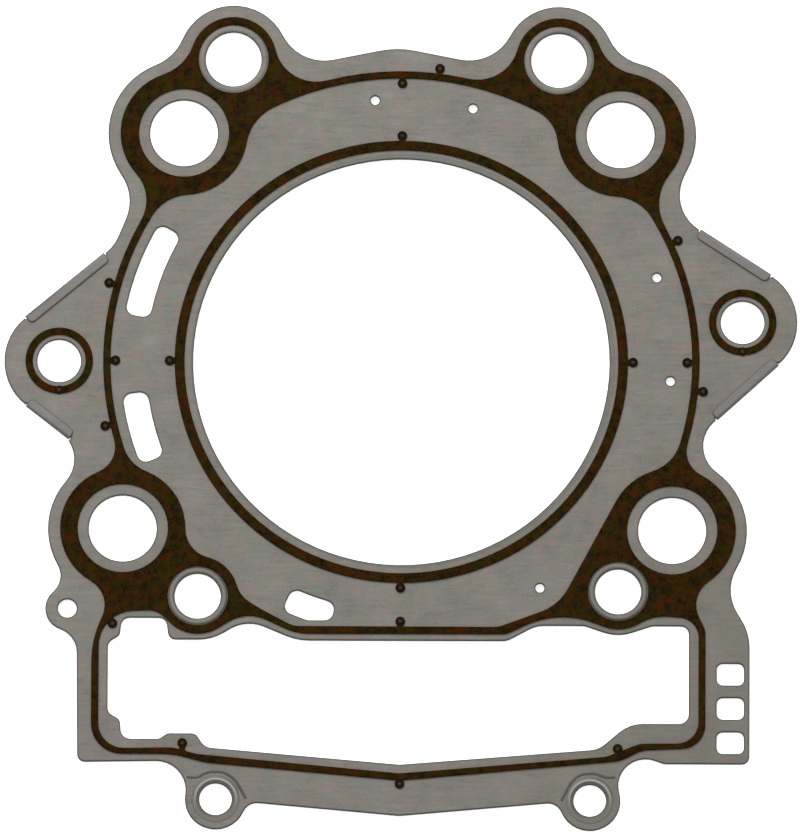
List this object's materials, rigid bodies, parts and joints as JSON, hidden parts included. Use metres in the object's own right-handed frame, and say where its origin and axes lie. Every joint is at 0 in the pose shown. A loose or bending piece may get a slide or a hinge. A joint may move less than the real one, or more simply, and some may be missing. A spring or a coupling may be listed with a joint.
{
  "type": "cylinder base gasket",
  "caption": "Flat cylinder base gasket: two coated steel sheets clinched by folded tabs, with moulded elastomer beads round the bore, coolant jacket, stud holes and timing chain window.",
  "frame": {"origin": "on the bore axis, in the plane where the two steel sheets meet", "axes": "+Z along the bore axis, out of the front face; -Y towards the timing chain window and the lugs; +X to the right, seen from the front"},
  "size_m": [0.1634, 0.1739, 0.0018],
  "materials": {
    "coated_steel": "matt, thin grey coating with faint rolling streaks",
    "elastomer": "dull, dark brown-black, slightly mottled"
  },
  "bodies": {
    "root": {"front_sheet": "coated_steel", "back_sheet": "coated_steel", "front_bore_seal": "elastomer", "front_jacket_seal": "elastomer", "front_left_ear_seal": "elastomer", "front_right_ear_seal": "elastomer", "back_bore_seal": "elastomer", "back_jacket_seal": "elastomer", "back_left_ear_seal": "elastomer", "back_right_ear_seal": "elastomer"}
  },
  "joints": []
}
